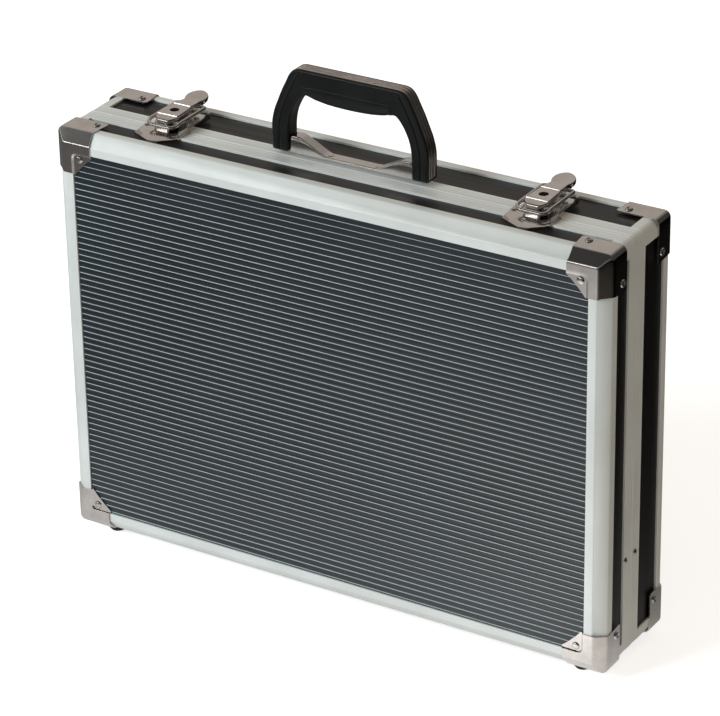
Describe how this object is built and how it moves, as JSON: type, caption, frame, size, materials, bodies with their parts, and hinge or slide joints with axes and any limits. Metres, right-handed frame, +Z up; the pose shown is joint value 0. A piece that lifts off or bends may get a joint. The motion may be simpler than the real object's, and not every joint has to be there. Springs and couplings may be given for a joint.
{
  "type": "socket set case",
  "caption": "Upright hard case with aluminium-edged halves, black side panels, corner caps, draw latches, a carry handle and a hinged lid over a foam tool tray.",
  "frame": {"origin": "middle of the footprint on the floor under the case, which stands upright on its feet", "axes": "+X along the long front, +Y from the lid panel to the back panel, +Z up towards the handle"},
  "size_m": [0.465, 0.099, 0.407],
  "materials": {
    "slate_panel": "satin slate laminate on fibreboard, with fine horizontal lines",
    "aluminium_frame": "satin anodised extrusion",
    "black_panel": "semi-gloss black laminate on fibreboard",
    "polished_cap": "polished nickel plate",
    "polished_hardware": "polished nickel plate",
    "rivet_metal": "domed, polished",
    "steel_pin": "plain steel",
    "black_rubber": "matt",
    "black_foam": "closed-cell foam, matt",
    "handle_plastic": "moulded, satin",
    "stay_metal": "plated sheet"
  },
  "bodies": {
    "base": {"back_panel": "slate_panel", "base_edge_frame": "aluminium_frame", "base_side_panels": "black_panel", "base_parting_frame": "aluminium_frame", "base_corner_trims": "aluminium_frame", "base_corner_caps": "polished_cap", "base_corner_rivets": "rivet_metal", "base_feet": "black_rubber", "foam_floor": "black_foam", "foam_tray": "black_foam", "base_hinge_leaf": "aluminium_frame", "base_hinge_rivets": "rivet_metal", "hinge_pin": "steel_pin", "base_stay_studs": "rivet_metal", "latch_base_plates": "polished_hardware", "latch_plate_rivets": "rivet_metal", "lever_pins": "steel_pin", "handle_bracket": "polished_hardware", "bracket_rivets": "rivet_metal", "handle_pins": "steel_pin"},
    "lid": {"lid_front_panel": "slate_panel", "lid_edge_frame": "aluminium_frame", "lid_side_panels": "black_panel", "lid_parting_frame": "aluminium_frame", "lid_corner_trims": "aluminium_frame", "lid_corner_caps": "polished_cap", "lid_corner_rivets": "rivet_metal", "lid_feet": "black_rubber", "lid_foam_pad": "black_foam", "catch_plates": "polished_hardware", "catch_rivets": "rivet_metal", "lid_hinge_leaf": "aluminium_frame", "lid_hinge_rivets": "rivet_metal", "lid_stay_studs": "rivet_metal"},
    "handle": {"handle_grip": "handle_plastic", "handle_trim": "polished_hardware"},
    "lever_left": {"lever_left": "polished_hardware", "lock_housing_left": "steel_pin"},
    "lock_left": {"lock_plug_left": "steel_pin"},
    "bail_left": {"bail_left": "polished_hardware"},
    "stay_lower_left": {"stay_lower_left": "stay_metal", "elbow_rivet_left": "rivet_metal"},
    "stay_upper_left": {"stay_upper_left": "stay_metal"},
    "lever_right": {"lever_right": "polished_hardware", "lock_housing_right": "steel_pin"},
    "lock_right": {"lock_plug_right": "steel_pin"},
    "bail_right": {"bail_right": "polished_hardware"},
    "stay_lower_right": {"stay_lower_right": "stay_metal", "elbow_rivet_right": "rivet_metal"},
    "stay_upper_right": {"stay_upper_right": "stay_metal"}
  },
  "joints": [
    {"name": "lid_hinge", "type": "hinge", "parent": "base", "child": "lid", "pos_m": [0, -0.0063, 0.005], "axis": [1, 0, 0], "range_deg": [0, 100]},
    {"name": "handle_hinge", "type": "hinge", "parent": "base", "child": "handle", "pos_m": [-0.001, 0.00025, 0.3485], "axis": [1, 0, 0], "range_deg": [-90, 90]},
    {"name": "lever_left_hinge", "type": "hinge", "parent": "base", "child": "lever_left", "pos_m": [-0.1545, -0.0115, 0.346], "axis": [1, 0, 0], "range_deg": [0, 95]},
    {"name": "bail_left_hinge", "type": "hinge", "parent": "lever_left", "child": "bail_left", "pos_m": [-0.1545, 0.0215, 0.34701], "axis": [1, 0, 0], "range_deg": [-95, 0]},
    {"name": "lock_left_turn", "type": "hinge", "parent": "lever_left", "child": "lock_left", "pos_m": [-0.1545, -0.0005, 0.347], "axis": [0, 0, 1], "range_deg": [-90, 0]},
    {"name": "stay_lower_left_hinge", "type": "hinge", "parent": "base", "child": "stay_lower_left", "pos_m": [-0.22295, -0.0009, 0.088], "axis": [1, 0, 0], "range_deg": [0, 100]},
    {"name": "stay_elbow_left_hinge", "type": "hinge", "parent": "stay_lower_left", "child": "stay_upper_left", "pos_m": [-0.222, -0.0102, 0.171], "axis": [1, 0, 0], "range_deg": [-100, 0]},
    {"name": "lever_right_hinge", "type": "hinge", "parent": "base", "child": "lever_right", "pos_m": [0.1535, -0.0115, 0.346], "axis": [1, 0, 0], "range_deg": [0, 95]},
    {"name": "bail_right_hinge", "type": "hinge", "parent": "lever_right", "child": "bail_right", "pos_m": [0.1535, 0.0215, 0.34701], "axis": [1, 0, 0], "range_deg": [-95, 0]},
    {"name": "lock_right_turn", "type": "hinge", "parent": "lever_right", "child": "lock_right", "pos_m": [0.1535, -0.0005, 0.347], "axis": [0, 0, 1], "range_deg": [-90, 0]},
    {"name": "stay_lower_right_hinge", "type": "hinge", "parent": "base", "child": "stay_lower_right", "pos_m": [0.22295, -0.0009, 0.088], "axis": [1, 0, 0], "range_deg": [0, 100]},
    {"name": "stay_elbow_right_hinge", "type": "hinge", "parent": "stay_lower_right", "child": "stay_upper_right", "pos_m": [0.222, -0.0102, 0.171], "axis": [1, 0, 0], "range_deg": [-100, 0]}
  ],
  "couplings": [
    {"joint": "bail_left_hinge", "follows": "lever_left_hinge", "ratio": -1},
    {"joint": "stay_lower_left_hinge", "follows": "lid_hinge", "ratio": 1},
    {"joint": "stay_elbow_left_hinge", "follows": "lid_hinge", "ratio": -1},
    {"joint": "bail_right_hinge", "follows": "lever_right_hinge", "ratio": -1},
    {"joint": "stay_lower_right_hinge", "follows": "lid_hinge", "ratio": 1},
    {"joint": "stay_elbow_right_hinge", "follows": "lid_hinge", "ratio": -1}
  ]
}
